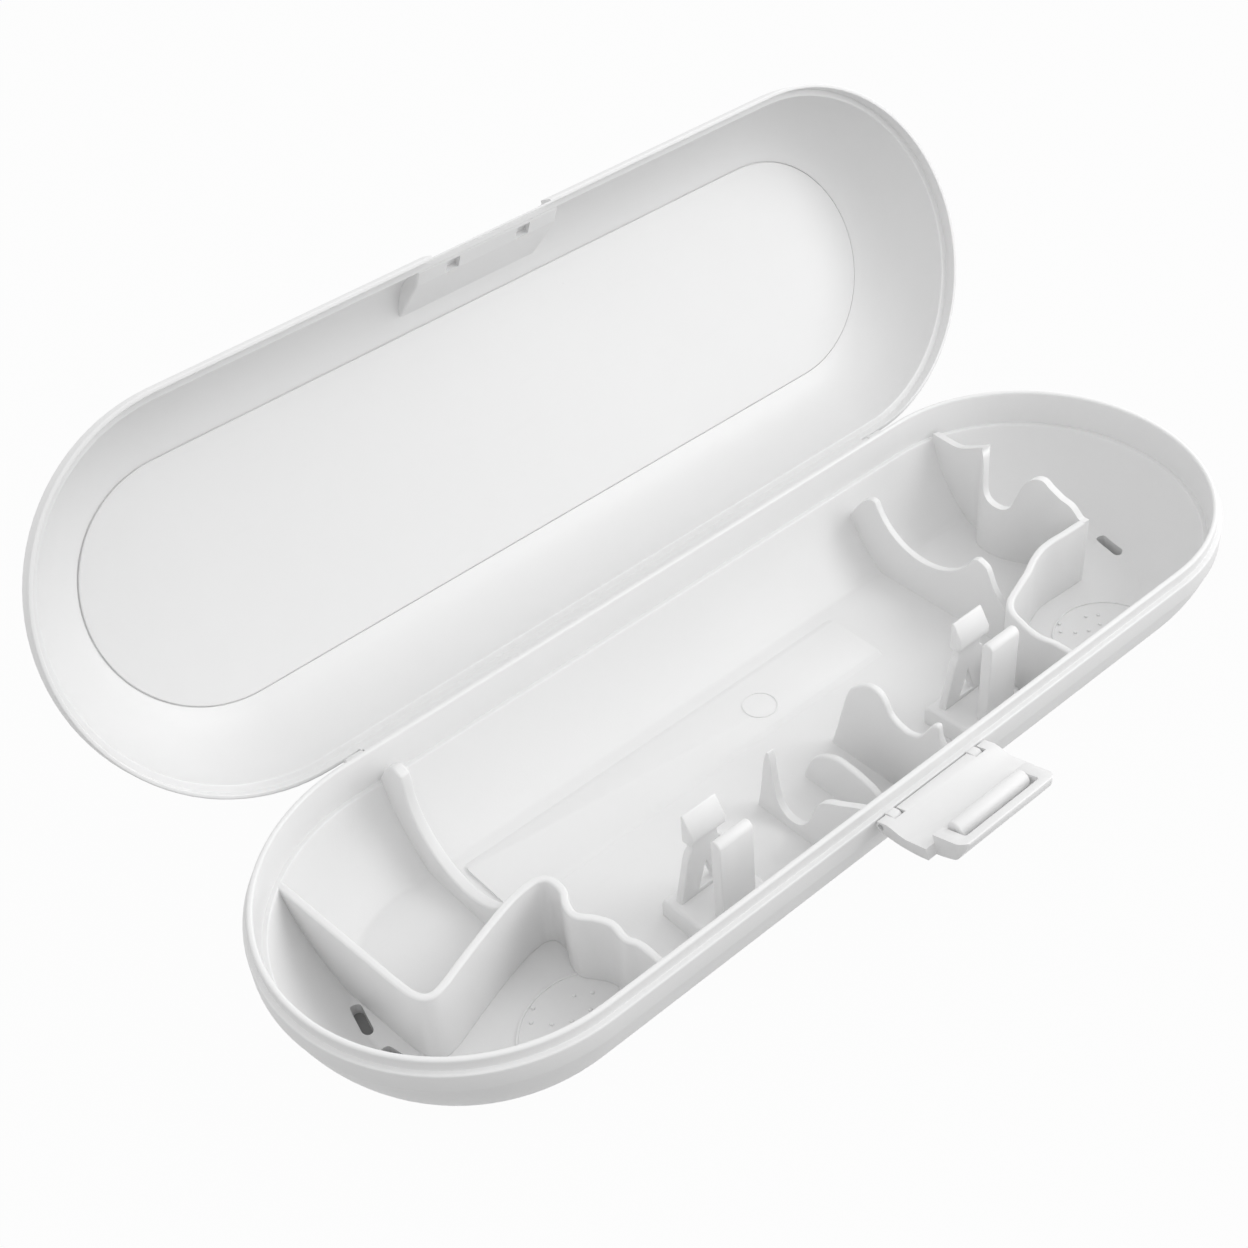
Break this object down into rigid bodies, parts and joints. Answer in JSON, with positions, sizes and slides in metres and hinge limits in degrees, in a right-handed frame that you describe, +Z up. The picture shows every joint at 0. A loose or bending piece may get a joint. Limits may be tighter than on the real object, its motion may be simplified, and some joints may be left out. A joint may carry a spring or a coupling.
{
  "type": "electric toothbrush travel case",
  "caption": "Rounded two-shell travel case with a hinged lid and snap latch; a moulded tray inside cradles an electric toothbrush handle and spare brush heads.",
  "frame": {"origin": "centre of the base's flat underside", "axes": "+X along the case towards the neck rest, +Y towards the hinge, +Z up"},
  "size_m": [0.23, 0.1476, 0.0941],
  "materials": {
    "shell": "satin white injection-moulded polypropylene",
    "tray": "satin white injection-moulded polypropylene",
    "panel": "satin off-white moulded plastic",
    "latch": "smooth white moulded plastic",
    "pin": "plain drawn steel wire"
  },
  "bodies": {
    "base": {"base_shell": "shell", "base_tray": "tray", "handle_rest_left": "tray", "handle_rest_right": "tray", "neck_rest": "tray", "bay_wall_left": "tray", "bay_wall_right": "tray", "clip_base_left": "tray", "clip_base_right": "tray", "clip_hook_left": "tray", "clip_hook_right": "tray", "clip_leaf_left": "tray", "clip_leaf_right": "tray", "cradle_left": "tray", "cradle_right": "tray", "cradle_rib": "tray", "hinge_pin_left": "pin", "hinge_pin_right": "pin", "latch_pin": "pin"},
    "lid": {"lid_shell": "shell", "lid_panel": "panel"},
    "latch": {"latch": "latch"}
  },
  "joints": [
    {"name": "lid_hinge", "type": "hinge", "parent": "base", "child": "lid", "pos_m": [0, 0.0404, 0.0228], "axis": [1, 0, 0], "range_deg": [0, 115]},
    {"name": "latch_hinge", "type": "hinge", "parent": "base", "child": "latch", "pos_m": [0, -0.04093, 0.02451], "axis": [-1, 0, 0], "range_deg": [0, 89.3]}
  ]
}
